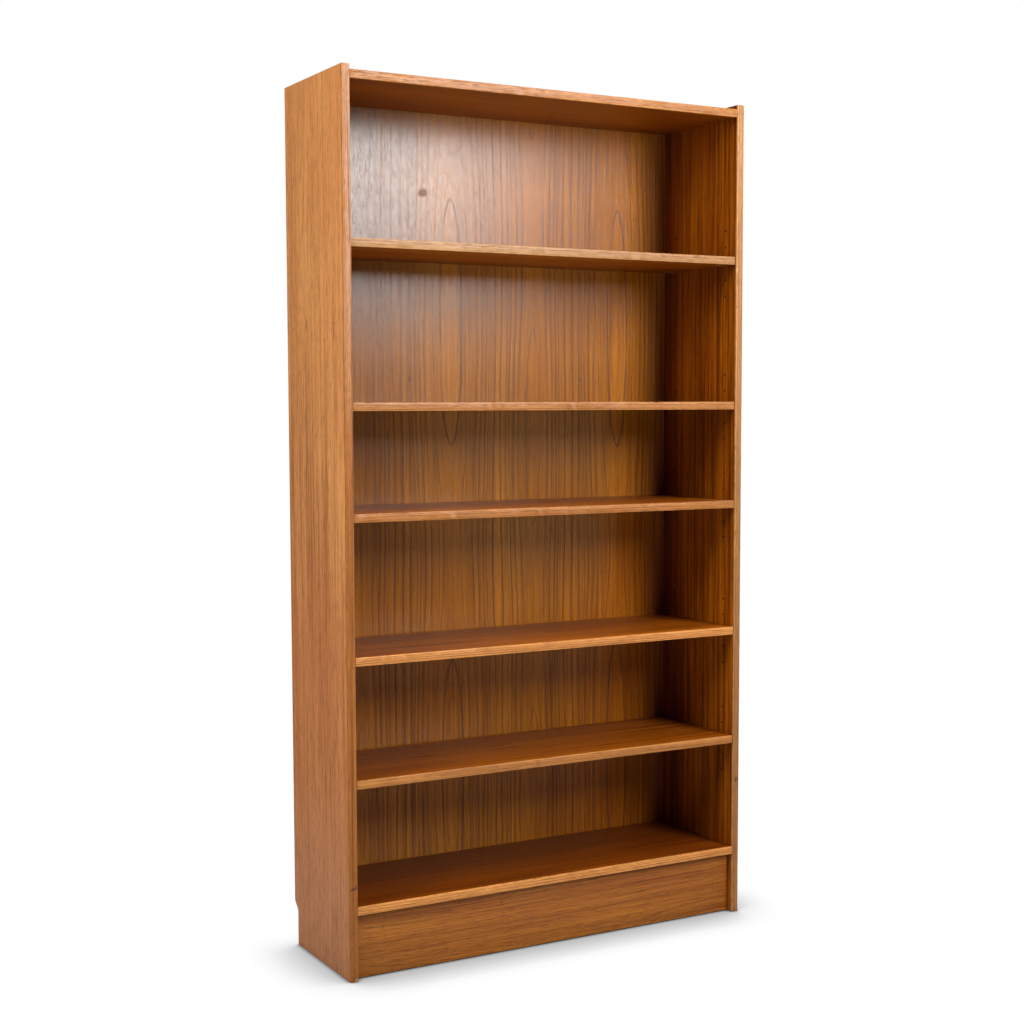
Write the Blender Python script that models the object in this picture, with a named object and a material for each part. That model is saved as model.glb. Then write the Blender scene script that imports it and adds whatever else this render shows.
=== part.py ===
"""Bookcase with five adjustable shelves, in metres, +Z up, front towards -Y.

The origin is on the floor, under the middle of the case. The boards are veneered and 18 mm thick,
with a solid strip, the lipping, glued on each front edge. The shelves rest on steel pins that
plug into groups of holes in the sides and hide in grooves under the shelf ends.
"""
import math

import bmesh
import bpy
from mathutils import Matrix, Vector

# Case
WIDTH = 1.000
DEPTH = 0.306
HEIGHT = 1.882
BOARD = 0.018            # thickness of every board but the back
LIPPING = 0.004          # thickness of the solid front strips
ARRIS = 0.0006           # small chamfer on the lippings' edges
GAP = 0.0003             # left between pieces that touch
TOP_DROP = 0.010         # from the top of the sides down to the top panel
PLINTH_HEIGHT = 0.140    # from the floor to the underside of the bottom panel
PLINTH_SETBACK = 0.0165  # from the front of the sides to the plinth
PLINTH_LIFT = 0.002      # plinth's lower edge above the floor

# Back panel, in a groove all round but the lower edge, which laps the bottom panel
BACK_SETBACK = 0.2905    # from the front of the case to the back panel's face
BACK_THICKNESS = 0.005
GROOVE_DEPTH = 0.006

# Notch for the room's skirting board, at the rear foot of each side
NOTCH_DEPTH = 0.018
NOTCH_STRAIGHT = 0.075   # height of its upright part
NOTCH_HEIGHT = 0.100     # where its curve meets the rear edge
NOTCH_STEPS = 8

# Shelves, from the top one down
SHELF_UNDERSIDES = (1.5205, 1.1885, 0.9600, 0.6635, 0.4060)
SHELF_SETBACKS = (0.0040, 0.0025, 0.0015, 0.0005, 0.0015)
SHELF_DEPTH = 0.284      # with its lipping
SHELF_END_GAP = 0.001    # between a shelf's end and the side

# Pins and their holes, in groups of five at each shelf, in two columns on each side
PIN_RADIUS = 0.0024
PIN_LENGTH = 0.018
PIN_RISE = 0.005         # pin's axis above the shelf's underside
PIN_CHAMFER = 0.0005
PIN_SIDES = 12
HOLE_RADIUS = 0.0028     # to the corners of the ten-sided hole
HOLE_SIDES = 10
HOLE_DEPTH = 0.010
HOLE_PITCH = 0.0375
HOLES_EACH_WAY = 2       # holes above and below a shelf's own
PIN_COLUMNS = {"front": 0.0425, "rear": 0.2430}  # from the front of the case
SLOT_WIDTH = 0.010       # groove for a pin under a shelf's end
SLOT_LENGTH = 0.027
SLOT_ARC_STEPS = 8

# Beech dowels that join the top, bottom and plinth to the sides
DOWEL_RADIUS = 0.0038
DOWEL_LENGTH = 0.030
DOWEL_IN_SIDE = 0.011    # length of dowel in the side panel
DOWEL_CHAMFER = 0.0008
DOWEL_HOLE_RADIUS = 0.0046
DOWEL_SIDES = 8
PANEL_DOWELS = (0.045, 0.150, 0.255)   # from the front of the case
PLINTH_DOWELS = (0.040, 0.100)         # above the floor

# Nails that hold the back panel's lower edge to the bottom panel
NAIL_RADIUS = 0.0007
NAIL_LENGTH = 0.018      # under the head
NAIL_TIP = 0.002
NAIL_HEAD_RADIUS = 0.0018
NAIL_HEAD = 0.0007       # thickness of the head
NAIL_HOLE_RADIUS = 0.0012
NAIL_SIDES = 8
NAIL_SPACING = 0.240
NAIL_COUNT = 4

OVERSHOOT = 0.002        # how far a cutter stands out of the face it enters
MERGE = 0.00001          # points closer than this are one
INNER = WIDTH / 2 - BOARD              # from the middle to a side's inner face
FRONT = -DEPTH / 2
REAR = DEPTH / 2
BOARD_FRONT = FRONT + LIPPING + GAP    # front edge of a board behind its lipping
BACK_FACE = FRONT + BACK_SETBACK
BACK_REAR = BACK_FACE + BACK_THICKNESS
TOP_UNDERSIDE = HEIGHT - TOP_DROP - BOARD


def clear_scene():
    for item in list(bpy.data.objects):
        bpy.data.objects.remove(item)


def finish(name, colour, roughness, metallic=0.0):
    material = bpy.data.materials.new(name)
    material.use_nodes = True
    shader = material.node_tree.nodes["Principled BSDF"]
    shader.inputs["Base Color"].default_value = (*colour, 1.0)
    shader.inputs["Roughness"].default_value = roughness
    shader.inputs["Metallic"].default_value = metallic
    return material


def add_box(shape, low, high):
    size = [b - a for a, b in zip(low, high)]
    middle = [(a + b) / 2 for a, b in zip(low, high)]
    place = Matrix.Translation(middle) @ Matrix.Diagonal((*size, 1.0))
    bmesh.ops.create_cube(shape, size=1.0, matrix=place)


def add_rod(shape, start, end, radius, sides):
    """Add a round rod from one point to another."""
    start = Vector(start)
    along = Vector(end) - start
    place = Matrix.Translation(start + along / 2) @ along.to_track_quat("Z", "Y").to_matrix().to_4x4()
    bmesh.ops.create_cone(shape, cap_ends=True, segments=sides, radius1=radius, radius2=radius,
                          depth=along.length, matrix=place)


def add_prism(shape, corners, sweep):
    """Add the solid that a flat outline sweeps along a vector."""
    base = shape.faces.new([shape.verts.new(corner) for corner in corners])
    swept = bmesh.ops.extrude_face_region(shape, geom=[base])["geom"]
    moved = [item for item in swept if isinstance(item, bmesh.types.BMVert)]
    bmesh.ops.translate(shape, verts=moved, vec=sweep)


def to_mesh(shape, name):
    bmesh.ops.recalc_face_normals(shape, faces=shape.faces)
    mesh = bpy.data.meshes.new(name)
    shape.to_mesh(mesh)
    shape.free()
    return mesh


def place_object(name, mesh, material, location, parent):
    piece = bpy.data.objects.new(name, mesh)
    bpy.context.collection.objects.link(piece)
    if not mesh.materials:
        mesh.materials.append(material)
    piece.location = location
    piece.parent = parent
    return piece


def machined(name, blank, tools, origin=(0.0, 0.0, 0.0)):
    """Mesh of the blank with the tools' closed shapes cut out of it, about the given origin."""
    body = bpy.data.objects.new("blank", to_mesh(blank, name))
    cutter = bpy.data.objects.new("cutter", to_mesh(tools, "tools"))
    cutter.hide_render = True
    cutter.display_type = "WIRE"
    for item in (body, cutter):
        bpy.context.collection.objects.link(item)
    cut = body.modifiers.new("cut", "BOOLEAN")
    cut.operation = "DIFFERENCE"
    cut.solver = "EXACT"
    cut.object = cutter
    depsgraph = bpy.context.evaluated_depsgraph_get()
    mesh = bpy.data.meshes.new_from_object(body.evaluated_get(depsgraph))
    mesh.name = name
    mesh.transform(Matrix.Translation(-Vector(origin)))
    for item in (body, cutter):
        bpy.data.objects.remove(item)
    return mesh


def strip_mesh(name, length_x, length_z):
    """A lipping: a thin strip with its edges eased, centred on its own origin."""
    shape = bmesh.new()
    half = (length_x / 2, LIPPING / 2, length_z / 2)
    add_box(shape, [-value for value in half], half)
    bmesh.ops.bevel(shape, geom=shape.edges[:], offset=ARRIS, segments=1, profile=0.5, affect="EDGES")
    return to_mesh(shape, name)


def rod_mesh(name, length, radius, chamfer, sides):
    """A round rod along X with chamfered ends, centred on its own origin."""
    shape = bmesh.new()
    add_rod(shape, (-length / 2, 0.0, 0.0), (length / 2, 0.0, 0.0), radius, sides)
    rims = [edge for edge in shape.edges if len({round(v.co.x, 6) for v in edge.verts}) == 1]
    bmesh.ops.bevel(shape, geom=rims, offset=chamfer, segments=1, profile=0.5, affect="EDGES")
    mesh = to_mesh(shape, name)
    mesh.shade_smooth()
    mesh.set_sharp_from_angle(angle=math.radians(40))
    return mesh


def pin_heights():
    return [underside + PIN_RISE for underside in SHELF_UNDERSIDES]


def hole_heights():
    steps = range(-HOLES_EACH_WAY, HOLES_EACH_WAY + 1)
    return [height + step * HOLE_PITCH for height in pin_heights() for step in steps]


def side_outline():
    """Outline of a side panel in Y and Z, with the skirting notch at its rear foot."""
    outline = [(BOARD_FRONT, 0.0), (REAR - NOTCH_DEPTH, 0.0)]
    for step in range(NOTCH_STEPS + 1):
        t = step / NOTCH_STEPS
        inset = NOTCH_DEPTH * (1 + math.cos(math.pi * t)) / 2
        outline.append((REAR - inset, NOTCH_STRAIGHT + (NOTCH_HEIGHT - NOTCH_STRAIGHT) * t))
    outline += [(REAR, HEIGHT), (BOARD_FRONT, HEIGHT)]
    return outline


def side_panel(name, side, material, parent):
    """The veneered board of one side; side is -1 for left and 1 for right."""
    inner = side * INNER
    blank = bmesh.new()
    add_prism(blank, [(inner, y, z) for y, z in side_outline()], (side * BOARD, 0.0, 0.0))

    tools = bmesh.new()
    mouth = inner - side * OVERSHOOT
    bottom = inner + side * HOLE_DEPTH
    for column in PIN_COLUMNS.values():
        for z in hole_heights():
            add_rod(tools, (mouth, FRONT + column, z), (bottom, FRONT + column, z),
                    HOLE_RADIUS, HOLE_SIDES)
    bottom = inner + side * (DOWEL_IN_SIDE + GAP)
    for _, y, z in dowel_places():
        add_rod(tools, (mouth, y, z), (bottom, y, z), DOWEL_HOLE_RADIUS, DOWEL_SIDES)
    bottom = inner + side * (GROOVE_DEPTH + GAP)
    add_box(tools, (min(mouth, bottom), BACK_FACE - GAP, -OVERSHOOT),
            (max(mouth, bottom), BACK_REAR + GAP, HEIGHT + OVERSHOOT))
    origin = (side * (WIDTH - BOARD) / 2, 0.0, 0.0)
    return place_object(name, machined(name, blank, tools, origin), material, origin, parent)


def dowel_places():
    """Board, Y and Z of each dowel at one end of the case."""
    top = TOP_UNDERSIDE + BOARD / 2
    bottom = PLINTH_HEIGHT + BOARD / 2
    plinth_middle = FRONT + PLINTH_SETBACK + BOARD / 2
    places = [("top", FRONT + y, top) for y in PANEL_DOWELS]
    places += [("bottom", FRONT + y, bottom) for y in PANEL_DOWELS]
    places += [("plinth", plinth_middle, z) for z in PLINTH_DOWELS]
    return places


def end_drills(board):
    """Drills for the dowels at both ends of one board between the sides."""
    tools = bmesh.new()
    bottom = INNER - (DOWEL_LENGTH - DOWEL_IN_SIDE + GAP)
    for side in (-1, 1):
        for owner, y, z in dowel_places():
            if owner == board:
                add_rod(tools, (side * bottom, y, z), (side * (INNER + OVERSHOOT), y, z),
                        DOWEL_HOLE_RADIUS, DOWEL_SIDES)
    return tools


def cross_board(name, tools, range_y, range_z, material, parent):
    """A board between the sides, with the tools' shapes cut out of it."""
    half = INNER - GAP
    blank = bmesh.new()
    add_box(blank, (-half, range_y[0], range_z[0]), (half, range_y[1], range_z[1]))
    origin = (0.0, sum(range_y) / 2, sum(range_z) / 2)
    return place_object(name, machined(name, blank, tools, origin), material, origin, parent)


def add_cross_boards(veneer, plinth_veneer, parent):
    top = end_drills("top")
    add_box(top, (-INNER - OVERSHOOT, BACK_FACE - GAP, TOP_UNDERSIDE - OVERSHOOT),
            (INNER + OVERSHOOT, BACK_REAR + GAP, TOP_UNDERSIDE + GROOVE_DEPTH + GAP))
    cross_board("top_panel", top, (BOARD_FRONT, REAR), (TOP_UNDERSIDE, TOP_UNDERSIDE + BOARD), veneer, parent)

    bottom = end_drills("bottom")
    for x, z in nail_places():
        add_rod(bottom, (x, BACK_FACE + OVERSHOOT, z), (x, BACK_REAR - NAIL_LENGTH, z),
                NAIL_HOLE_RADIUS, NAIL_SIDES)
    cross_board("bottom_panel", bottom, (BOARD_FRONT, BACK_FACE - GAP),
                (PLINTH_HEIGHT, PLINTH_HEIGHT + BOARD), veneer, parent)

    face = FRONT + PLINTH_SETBACK
    cross_board("plinth_board", end_drills("plinth"), (face, face + BOARD),
                (PLINTH_LIFT, PLINTH_HEIGHT - GAP), plinth_veneer, parent)


def nail_places():
    """X and Z of each nail, in the middle of the bottom panel's rear edge."""
    first = -NAIL_SPACING * (NAIL_COUNT - 1) / 2
    return [(first + NAIL_SPACING * index, PLINTH_HEIGHT + BOARD / 2) for index in range(NAIL_COUNT)]


def back_panel(material, parent):
    half_x = INNER + GROOVE_DEPTH
    range_z = (PLINTH_HEIGHT, TOP_UNDERSIDE + GROOVE_DEPTH)
    blank = bmesh.new()
    add_box(blank, (-half_x, BACK_FACE, range_z[0]), (half_x, BACK_REAR, range_z[1]))
    tools = bmesh.new()
    for x, z in nail_places():
        add_rod(tools, (x, BACK_FACE - OVERSHOOT, z), (x, BACK_REAR + OVERSHOOT, z),
                NAIL_HOLE_RADIUS, NAIL_SIDES)
    origin = (0.0, (BACK_FACE + BACK_REAR) / 2, sum(range_z) / 2)
    return place_object("back_panel", machined("back_panel", blank, tools, origin), material, origin, parent)


def add_nails(steel, parent):
    """Nails turned about Y, with the underside of the head at their own origin."""
    profile = [(0.0, NAIL_HEAD), (NAIL_HEAD_RADIUS, NAIL_HEAD), (NAIL_HEAD_RADIUS, 0.0), (NAIL_RADIUS, 0.0),
               (NAIL_RADIUS, NAIL_TIP - NAIL_LENGTH), (0.0, -NAIL_LENGTH)]
    shape = bmesh.new()
    points = [shape.verts.new((radius, y, 0.0)) for radius, y in profile]
    edges = [shape.edges.new(pair) for pair in zip(points, points[1:])]
    bmesh.ops.spin(shape, geom=points + edges, cent=(0, 0, 0), axis=(0, 1, 0), angle=2 * math.pi,
                   steps=NAIL_SIDES, use_merge=True)
    bmesh.ops.remove_doubles(shape, verts=shape.verts, dist=MERGE)
    mesh = to_mesh(shape, "back_nail")
    mesh.shade_smooth()
    mesh.set_sharp_from_angle(angle=math.radians(50))
    for number, (x, z) in enumerate(nail_places(), start=1):
        place_object(f"back_nail_{number}", mesh, steel, (x, BACK_REAR + GAP, z), parent)


def shelf_board_mesh():
    """A shelf board about its middle, with a round-ended groove for each pin in its underside."""
    half_x = INNER - SHELF_END_GAP
    depth = SHELF_DEPTH - LIPPING - GAP
    shape = bmesh.new()
    add_box(shape, (-half_x, -depth / 2, -BOARD / 2), (half_x, depth / 2, BOARD / 2))

    tools = bmesh.new()
    mean_setback = sum(SHELF_SETBACKS) / len(SHELF_SETBACKS)
    roof = PIN_RISE + PIN_RADIUS + GAP - BOARD / 2
    below = -BOARD / 2 - OVERSHOOT
    radius = SLOT_WIDTH / 2
    for end in (-1, 1):
        for column in PIN_COLUMNS.values():
            middle = column - mean_setback - LIPPING - GAP - depth / 2
            centre = half_x - SLOT_LENGTH + radius
            corners = [(end * (half_x + OVERSHOOT), middle - radius, below)]
            for step in range(SLOT_ARC_STEPS + 1):
                angle = math.pi * step / SLOT_ARC_STEPS
                corners.append((end * (centre - radius * math.sin(angle)),
                                middle - radius * math.cos(angle), below))
            corners.append((end * (half_x + OVERSHOOT), middle + radius, below))
            add_prism(tools, corners, (0.0, 0.0, roof - below))
    return machined("shelf_board", shape, tools)


def add_shelves(veneer, solid, parent):
    board_mesh = shelf_board_mesh()
    lipping_mesh = strip_mesh("shelf_lipping", 2 * (INNER - SHELF_END_GAP), BOARD)
    depth = SHELF_DEPTH - LIPPING - GAP
    for number, (underside, setback) in enumerate(zip(SHELF_UNDERSIDES, SHELF_SETBACKS), start=1):
        front = FRONT + setback
        location = (0.0, front + LIPPING + GAP + depth / 2, underside + BOARD / 2)
        shelf = place_object(f"shelf_{number}", board_mesh, veneer, location, parent)
        ahead = (0.0, -(depth / 2 + GAP + LIPPING / 2), 0.0)
        place_object(f"shelf_{number}_lipping", lipping_mesh, solid, ahead, shelf)


def add_pins(steel, parent):
    mesh = rod_mesh("shelf_pin", PIN_LENGTH, PIN_RADIUS, PIN_CHAMFER, PIN_SIDES)
    middle = INNER + HOLE_DEPTH - GAP - PIN_LENGTH / 2
    for number, height in enumerate(pin_heights(), start=1):
        for side, sign in (("left", -1), ("right", 1)):
            for column, setback in PIN_COLUMNS.items():
                location = (sign * middle, FRONT + setback, height)
                place_object(f"pin_{number}_{side}_{column}", mesh, steel, location, parent)


def add_dowels(beech, parent):
    mesh = rod_mesh("dowel", DOWEL_LENGTH, DOWEL_RADIUS, DOWEL_CHAMFER, DOWEL_SIDES)
    middle = INNER + DOWEL_IN_SIDE - DOWEL_LENGTH / 2
    for side, sign in (("left", -1), ("right", 1)):
        counts = {}
        for board, y, z in dowel_places():
            counts[board] = counts.get(board, 0) + 1
            name = f"dowel_{board}_{side}_{counts[board]}"
            place_object(name, mesh, beech, (sign * middle, y, z), parent)


def build_bookcase():
    clear_scene()
    case = bpy.data.objects.new("bookcase", None)
    bpy.context.collection.objects.link(case)

    side_veneer = finish("side_veneer", (0.44, 0.18, 0.058), 0.42)
    shelf_veneer = finish("shelf_veneer", (0.35, 0.13, 0.035), 0.40)
    back_veneer = finish("back_veneer", (0.33, 0.14, 0.045), 0.38)
    solid_teak = finish("solid_teak", (0.46, 0.20, 0.062), 0.45)
    plinth_veneer = finish("plinth_veneer", (0.31, 0.11, 0.030), 0.45)
    steel = finish("steel", (0.55, 0.54, 0.52), 0.30, 1.0)
    beech = finish("beech", (0.60, 0.42, 0.25), 0.65)

    for side, sign in (("left", -1), ("right", 1)):
        side_panel(f"{side}_side_panel", sign, side_veneer, case)
        place_object(f"{side}_side_lipping", strip_mesh(f"{side}_side_lipping", BOARD, HEIGHT), solid_teak,
                     (sign * (WIDTH - BOARD) / 2, FRONT + LIPPING / 2, HEIGHT / 2), case)

    add_cross_boards(shelf_veneer, plinth_veneer, case)
    for name, underside in (("top", TOP_UNDERSIDE), ("bottom", PLINTH_HEIGHT)):
        place_object(f"{name}_lipping", strip_mesh(f"{name}_lipping", 2 * (INNER - GAP), BOARD), solid_teak,
                     (0.0, FRONT + LIPPING / 2, underside + BOARD / 2), case)
    back_panel(back_veneer, case)

    add_shelves(shelf_veneer, solid_teak, case)
    add_pins(steel, case)
    add_dowels(beech, case)
    add_nails(steel, case)


build_bookcase()
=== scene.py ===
import math

import bmesh
import bpy
from mathutils import Matrix, Vector, noise


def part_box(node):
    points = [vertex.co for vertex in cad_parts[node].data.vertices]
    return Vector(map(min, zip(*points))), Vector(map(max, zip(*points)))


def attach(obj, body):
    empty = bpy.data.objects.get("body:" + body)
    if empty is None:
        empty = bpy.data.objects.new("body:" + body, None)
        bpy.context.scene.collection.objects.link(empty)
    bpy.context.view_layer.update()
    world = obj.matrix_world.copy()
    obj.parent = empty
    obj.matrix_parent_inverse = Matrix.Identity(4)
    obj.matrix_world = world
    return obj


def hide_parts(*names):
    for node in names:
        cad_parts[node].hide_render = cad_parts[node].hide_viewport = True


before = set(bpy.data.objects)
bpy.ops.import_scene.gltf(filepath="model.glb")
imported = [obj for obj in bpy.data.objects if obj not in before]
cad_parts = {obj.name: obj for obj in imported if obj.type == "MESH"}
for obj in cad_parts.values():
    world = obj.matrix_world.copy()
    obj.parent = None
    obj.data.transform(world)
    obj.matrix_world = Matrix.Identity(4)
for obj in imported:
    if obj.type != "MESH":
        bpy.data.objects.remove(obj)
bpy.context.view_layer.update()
caseBody = "case"
print("frame loaded:", len(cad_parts), "nodes")


# Shader tree helpers

def tint(red, green, blue):
    # a screen colour, 0 to 255, as the linear colour that sockets hold
    def linear(level):
        level = level / 255
        return level / 12.92 if level <= 0.04045 else ((level + 0.055) / 1.055) ** 2.4
    return (linear(red), linear(green), linear(blue), 1.0)


class Value:
    # a number, colour or vector that varies over a surface; operators on a number add Math nodes
    def __init__(self, finish, socket):
        self.finish = finish
        self.socket = socket

    def math(self, operation, *others):
        sockets = dict(enumerate((self, *others)))
        return self.finish.add("ShaderNodeMath", {"operation": operation}, sockets)

    def output(self, name):
        return Value(self.finish, self.socket.node.outputs[name])

    def __add__(self, other):
        return self.math("ADD", other)

    __radd__ = __add__

    def __sub__(self, other):
        return self.math("SUBTRACT", other)

    def __rsub__(self, other):
        return self.finish.add("ShaderNodeMath", {"operation": "SUBTRACT"}, {0: other, 1: self})

    def __mul__(self, other):
        return self.math("MULTIPLY", other)

    __rmul__ = __mul__

    def __truediv__(self, other):
        return self.math("DIVIDE", other)

    def fade(self, start, end, low=0.0, high=1.0):
        # eases from low to high as the value goes from start to end
        settings = {"interpolation_type": "SMOOTHSTEP"}
        sockets = {"Value": self, "From Min": start, "From Max": end, "To Min": low, "To Max": high}
        return self.finish.add("ShaderNodeMapRange", settings, sockets)


class Finish:
    # one material and its node tree
    def __init__(self, name, **uniform):
        self.material = bpy.data.materials.new(name)
        self.material.use_nodes = True
        self.tree = self.material.node_tree
        self.shader = self.tree.nodes["Principled BSDF"]
        for key, value in uniform.items():
            self.shader.inputs[key.replace("_", " ")].default_value = value
        self.place = self.add("ShaderNodeTexCoord").output("Object")

    def add(self, kind, settings=None, sockets=None):
        node = self.tree.nodes.new(kind)
        for key, value in (settings or {}).items():
            setattr(node, key, value)
        for key, value in (sockets or {}).items():
            if isinstance(value, Value):
                self.tree.links.new(value.socket, node.inputs[key])
            else:
                node.inputs[key].default_value = value
        return Value(self, node.outputs[0])

    def set(self, name, value):
        self.tree.links.new(value.socket, self.shader.inputs[name])

    def blend(self, factor, first, second, mode="MIX"):
        settings = {"data_type": "RGBA", "blend_type": mode}
        mixed = self.add("ShaderNodeMix", settings, {0: factor, 6: first, 7: second})
        return Value(self, mixed.socket.node.outputs[2])

    def vector(self, x, y, z):
        return self.add("ShaderNodeCombineXYZ", sockets={0: x, 1: y, 2: z})

    def cloud(self, place, scale, detail=2.0, roughness=0.5, shift=0.0):
        # noise between about 0.2 and 0.8, scale times finer along each axis
        moved = self.add("ShaderNodeMapping", sockets={
            "Vector": place, "Scale": scale, "Location": (shift, shift * 1.7, shift * 0.6)})
        return self.add("ShaderNodeTexNoise", sockets={
            "Vector": moved, "Scale": 1.0, "Detail": detail, "Roughness": roughness})

    def bump(self, height, distance, strength=1.0):
        return self.add("ShaderNodeBump", sockets={
            "Height": height, "Distance": distance, "Strength": strength})


# Teak

teakTones = {
    "sideOuter": {"light": tint(212, 144, 82), "dark": tint(150, 88, 42), "red": tint(172, 98, 54)},
    "sideInner": {"light": tint(178, 98, 8), "dark": tint(88, 36, 1), "red": tint(112, 44, 2)},
    "shelf": {"light": tint(176, 94, 7), "dark": tint(88, 36, 1), "red": tint(122, 52, 3)},
    # the bottom board's tones are the shelf tones darkened: painted shade in the lowest compartment
    "bottom": {"light": tint(138, 66, 3), "dark": tint(62, 23, 1), "red": tint(90, 34, 1)},
    "back": {"light": tint(194, 120, 12), "dark": tint(100, 51, 3), "red": tint(136, 67, 4)},
    "shelfStrip": {"light": tint(184, 122, 58), "dark": tint(124, 72, 27), "red": tint(144, 80, 33)},
    "paleStrip": {"light": tint(220, 150, 76), "dark": tint(154, 94, 37), "red": tint(172, 102, 45)},
    "pinkStrip": {"light": tint(178, 131, 80), "dark": tint(123, 82, 42), "red": tint(140, 92, 51)},
    "leftPost": {"light": tint(176, 109, 37), "dark": tint(114, 62, 18), "red": tint(136, 72, 22)},
    "rightPost": {"light": tint(192, 136, 74), "dark": tint(126, 76, 34), "red": tint(150, 92, 48)},
    "plinth": {"light": tint(184, 114, 38), "dark": tint(100, 48, 12), "red": tint(134, 70, 20)},
}

poreInk = tint(80, 38, 12)


def grainPlace(finish, order):
    # object coordinates as (along the grain, across it, into the wood); order is such as "ZXY"
    parts = finish.add("ShaderNodeSeparateXYZ", sockets={0: finish.place})
    return [parts.output(letter) for letter in order]


def heartDistance(finish, along, across, figure):
    # distance of a point from the nearest heart of the log, which gives the arched figure
    radius = None
    for heart in figure["hearts"]:
        swing = ((along - heart["crest"]) * (2 * math.pi / heart["period"])).math("COSINE")
        depth = heart["depth"] + swing * heart["swing"]
        offset = across - heart["across"]
        distance = (offset * offset + depth * depth).math("SQRT") + heart.get("back", 0.0)
        radius = distance if radius is None else radius.math("SMOOTH_MIN", distance, figure["join"])
    return radius


ringHabit = {
    "wander": (1.3, 2.5, 1.0), "wave": (6.0, 16.0, 1.0), "fading": (4.5, 14.0, 14.0),   # scales of noise
    "slopeStep": 0.0004, "leastSlope": 0.12, "scatter": 0.85, "leastDark": 0.15,
}


def growthRings(finish, along, across, figure):
    # distance from the heart, and how fast it changes across the board, which keeps lines even
    flat = finish.vector(along, across, 0.0)
    wander = finish.cloud(flat, ringHabit["wander"], 2.0, 0.5, figure["seed"])
    wave = finish.cloud(flat, ringHabit["wave"], 2.0, 0.5, figure["seed"] + 3)
    if figure["leaf"]:
        across = (across - figure["leafEdge"]).math("FLOORED_MODULO", figure["leaf"])
    across = across + (wander - 0.5) * figure["wander"]
    radius = heartDistance(finish, along, across, figure)
    step = ringHabit["slopeStep"]
    beside = heartDistance(finish, along, across + step, figure)
    slope = ((beside - radius) / step).math("ABSOLUTE").math("MAXIMUM", ringHabit["leastSlope"])
    return radius + (wave - 0.5) * figure["wave"], slope


def ringLines(finish, place, radius, slope, spacing, width, seed):
    # dark lines at uneven distances; each has its own strength, and fades in and out along its length
    cells = finish.add("ShaderNodeTexVoronoi", {"voronoi_dimensions": "1D", "feature": "F1"}, {
        "W": (radius + seed) / spacing, "Scale": 1.0, "Randomness": ringHabit["scatter"]})
    chance = finish.add("ShaderNodeSeparateColor", sockets={0: cells.output("Color")})
    fading = finish.cloud(place, ringHabit["fading"], 2.0, 0.6, seed).fade(0.34, 0.50, 0.45, 1.0)
    gap = cells.output("Distance") * spacing / slope / (chance.output("Green") + 0.5)
    strength = chance * (1.0 - ringHabit["leastDark"]) + ringHabit["leastDark"]
    return gap.fade(width * 0.25, width, 1.0, 0.0) * strength * fading


def edgeDistance(finish, low, high):
    # how far a point on a box is from the nearest arris: the middle one of its three distances
    parts = finish.add("ShaderNodeSeparateXYZ", sockets={0: finish.place})
    gaps = []
    for index, letter in enumerate("XYZ"):
        middle = (low[index] + high[index]) / 2
        half = (high[index] - low[index]) / 2
        gaps.append(half - (parts.output(letter) - middle).math("ABSOLUTE"))
    first, second, third = gaps
    small = first.math("MINIMUM", second)
    large = first.math("MAXIMUM", second)
    return small.math("MAXIMUM", large.math("MINIMUM", third))


spotEdge = {"lumps": 0.9, "ragged": 0.9, "solid": 0.45}


def softSpot(finish, centre, size):
    # 1 in the middle of an ellipsoid, fading to 0 at its edge, with a ragged outline
    ragged = finish.cloud(finish.place, tuple(spotEdge["lumps"] / value for value in size), 2.0)
    offset = finish.add("ShaderNodeVectorMath", {"operation": "SUBTRACT"}, {0: finish.place, 1: centre})
    scaled = finish.add("ShaderNodeVectorMath", {"operation": "DIVIDE"}, {0: offset, 1: size})
    length = finish.add("ShaderNodeVectorMath", {"operation": "LENGTH"}, {0: scaled}).output("Value")
    return (length + (ragged - 0.5) * spotEdge["ragged"]).fade(spotEdge["solid"], 1.0, 1.0, 0.0)


# each pattern of the wood: scale along the grain, across it and into it, then detail, roughness and seed
grainPatterns = {
    "bands": ((0.8, 9.0, 9.0), 2.0, 0.5, 0),
    "drift": ((1.6, 3.5, 3.5), 2.0, 0.6, 11),
    "streaks": ((1.5, 95.0, 95.0), 4.0, 0.7, 5),
    "fibre": ((7.0, 520.0, 520.0), 3.0, 0.6, 7),
    "pores": ((55.0, 1500.0, 1500.0), 1.0, 0.5, 9),
    "dashes": ((24.0, 340.0, 340.0), 1.0, 0.5, 13),
    "sheen": ((120.0, 330.0, 330.0), 2.0, 0.6, 2),
}
# how strong each pattern is; the last three keys paint light and shade: tints along the grain, darkening
# across it and darkened patches
teakLook = {
    "bands": 0.9, "streaks": 1.6, "fibre": 1.0, "rings": 0.6, "fineRings": 0.45, "dashes": 0.3,
    "pores": 0.35, "redness": 0.5, "roughness": 0.36, "sheen": 0.06, "gloss": 0.4, "wear": 0.35,
    "bump": 0.0005, "matt": 0.3, "tone": 0.56, "polish": 0.08, "dullness": 0.35,
    "paintedLightFades": (), "paintedShades": (), "paintedShadePatches": (),
}
grainRelief = {"fibre": 0.4, "sheen": 0.5, "lines": 0.4, "strength": 0.6}
plainFigure = {
    "leaf": 0.0, "leafEdge": 0.0, "wander": 0.05, "wave": 0.006, "spacing": 0.024, "width": 0.0014,
    "join": 0.01, "fineSpacing": 0.007, "fineWidth": 0.0011,
    "hearts": [{"across": -0.35, "depth": 0.05, "swing": 0.03, "crest": 0.2, "period": 1.7}],
}
leafJoint = {"width": 0.0016, "strength": 0.6}
wornEdge = {"width": 0.0022, "scale": (60.0, 60.0, 60.0)}


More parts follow.
